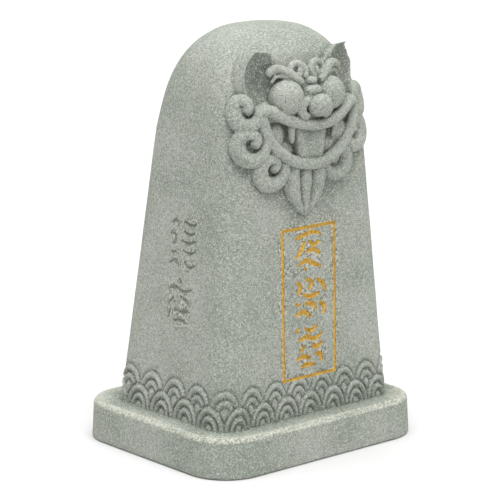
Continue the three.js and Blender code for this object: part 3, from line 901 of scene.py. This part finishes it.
def makeGoldFinish(grainGroup):
    finish = newFinish("wornGoldPaint")
    tree = finish.node_tree
    join = tree.links.new
    grain, stain, split = stoneSurface(tree, grainGroup)
    place = addNode(tree, "ShaderNodeTexCoord").outputs["Object"]
    streaks = addNode(tree, "ShaderNodeTexNoise", {"Scale": 900.0, "Detail": 2.0, "Roughness": 0.6})
    join(place, streaks.inputs["Vector"])
    tone = ramp(tree, streaks.outputs["Fac"], [(0.35, gold["deep"]), (0.62, gold["bright"])])
    flakes = addNode(tree, "ShaderNodeTexNoise", {"Scale": 260.0, "Detail": 4.0, "Roughness": 0.7})
    join(place, flakes.inputs["Vector"])
    bare = ramp(tree, flakes.outputs["Fac"], [(gold["wear"][0], 0.0), (gold["wear"][1], 1.0)])
    stone = stoneColour(tree, grain, stain, split)
    colour = mixed(tree, bare.outputs["Color"], tone.outputs["Color"], stone)
    sheen = ramp(tree, bare.outputs["Color"], [(0.0, 0.3), (1.0, 0.0)])
    rough = ramp(tree, bare.outputs["Color"], [(0.0, 0.42), (1.0, 0.88)])
    shader = addNode(tree, "ShaderNodeBsdfPrincipled")
    leave = addNode(tree, "ShaderNodeOutputMaterial")
    join(colour, shader.inputs["Base Color"])
    join(sheen.outputs["Color"], shader.inputs["Metallic"])
    join(rough.outputs["Color"], shader.inputs["Roughness"])
    join(stoneBump(tree, grain), shader.inputs["Normal"])
    join(shader.outputs["BSDF"], leave.inputs["Surface"])
    return finish


# Reads the shape itself: red where it is hollow, which the stone finish turns into painted shade, partly
# standing for grime, and blue along the slab's worn upper edge.
def markCarving(stone):
    data = stone.data
    count = len(data.vertices)
    spots = np.empty(count * 3)
    data.vertices.foreach_get("co", spots)
    spots = spots.reshape(-1, 3) / mm
    outward = np.empty(count * 3)
    data.vertices.foreach_get("normal", outward)
    outward = outward.reshape(-1, 3)
    ends = np.empty(len(data.edges) * 2, dtype=np.int64)
    data.edges.foreach_get("vertices", ends)
    ends = ends.reshape(-1, 2)
    both = np.concatenate([ends, ends[:, ::-1]])
    neighbours = np.maximum(np.bincount(both[:, 0], minlength=count)[:, None], 1)
    smooth = spots.copy()
    for step in range(carving["hollowReach"]):
        total = np.stack([np.bincount(both[:, 0], weights=smooth[both[:, 1], axis], minlength=count)
                          for axis in range(3)], axis=1)
        smooth = (smooth + total / neighbours) / 2
    bulge = np.einsum("ij,ij->i", spots - smooth, outward)
    hollow = np.clip(-bulge / carving["hollowDepth"], 0, 1)
    dull, worn = carving["wornBulge"]
    nearEdge = np.abs(spots[:, 2] - slab["height"] + carving["wornDrop"]) < carving["wornReach"]
    edge = np.clip((bulge - dull) / (worn - dull), 0, 1) * nearEdge
    paint = data.color_attributes.new("carved", "FLOAT_COLOR", "POINT")
    shades = np.stack([hollow, np.zeros(count), edge, np.ones(count)], axis=1)
    paint.data.foreach_set("color", shades.ravel())


grainGroup = makeGrainGroup()
stoneFinish = makeStoneFinish(grainGroup, "greyGreenStone", 0.0)
# the finish for the side marks' cuts, with painted shade in the grooves
cutFinish = makeStoneFinish(grainGroup, "paintedShadeCut", 0.35)
goldFinish = makeGoldFinish(grainGroup)

guardianStone = makeStone()
guardianStone.data.materials.clear()
guardianStone.data.materials.append(stoneFinish)
print("stone carved:", len(guardianStone.data.polygons), "faces")
markCarving(guardianStone)
goldDabs = makeFrameCutter() + makeMarks(frontGroups, frontSpot, marks["width"])
cut(guardianStone, goldDabs, "goldCutter", goldFinish)
cut(guardianStone, makeMarks(sideGroups, leftSpot, marks["sideWidth"]), "sideCutter", cutFinish)
pick(guardianStone)
bpy.ops.object.shade_smooth_by_angle(angle=math.radians(50))
print("marks cut:", len(guardianStone.data.polygons), "faces")

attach(guardianStone, "root")
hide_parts("guardian_stone")


studio = {
    "azimuth": -40.92,
    "elevation": 12.64,
    "distance": 1.1144,
    "aim": Vector((-0.0003, 0.0003, 0.0903)),
    "lens": 168.37,
    "floorShade": 0.68,
    "skyStrength": 0.26,
    # each light: name, strength, azimuth, elevation, softness
    "lights": [("overheadSoftbox", 4.3, -40, 82, 80), ("frontSoftbox", 0.5, -10, 35, 50)],
}


def wayTo(azimuth, elevation):  # from the middle of the stone, 0 being straight in front
    turn, climb = math.radians(azimuth), math.radians(elevation)
    return Vector((math.sin(turn) * math.cos(climb), -math.cos(turn) * math.cos(climb), math.sin(climb)))


def makeStudio():
    letGo()
    bpy.ops.mesh.primitive_plane_add(size=12, location=(0, 0, -0.0002))
    floor = settle(bpy.context.object)
    floor.name = "floor"
    finish = newFinish("paleFloor")
    tree = finish.node_tree
    pale = (studio["floorShade"],) * 3 + (1,)
    shader = addNode(tree, "ShaderNodeBsdfPrincipled", {"Base Color": pale, "Roughness": 0.9})
    leave = addNode(tree, "ShaderNodeOutputMaterial")
    tree.links.new(shader.outputs["BSDF"], leave.inputs["Surface"])
    floor.data.materials.append(finish)

    back = wayTo(studio["azimuth"], studio["elevation"])
    bpy.ops.object.camera_add(location=studio["aim"] + back * studio["distance"])
    camera = bpy.context.object
    camera.rotation_euler = back.to_track_quat("Z", "Y").to_euler()
    camera.data.lens = studio["lens"]
    camera.data.sensor_width = 36
    camera.data.clip_start = 0.01
    scene.camera = camera

    for name, strength, azimuth, elevation, softness in studio["lights"]:
        bpy.ops.object.light_add(type="SUN", location=(0, 0, 1))
        lamp = bpy.context.object
        lamp.name = name
        lamp.data.energy = strength
        lamp.data.angle = math.radians(softness)
        lamp.rotation_euler = wayTo(azimuth, elevation).to_track_quat("Z", "Y").to_euler()

    scene.world = bpy.data.worlds.new("whiteSky")
    scene.world.use_nodes = True
    sky = scene.world.node_tree.nodes["Background"]
    sky.inputs["Color"].default_value = (1, 1, 1, 1)
    sky.inputs["Strength"].default_value = studio["skyStrength"]
    scene.view_settings.view_transform = "Standard"


makeStudio()
print("studio ready")
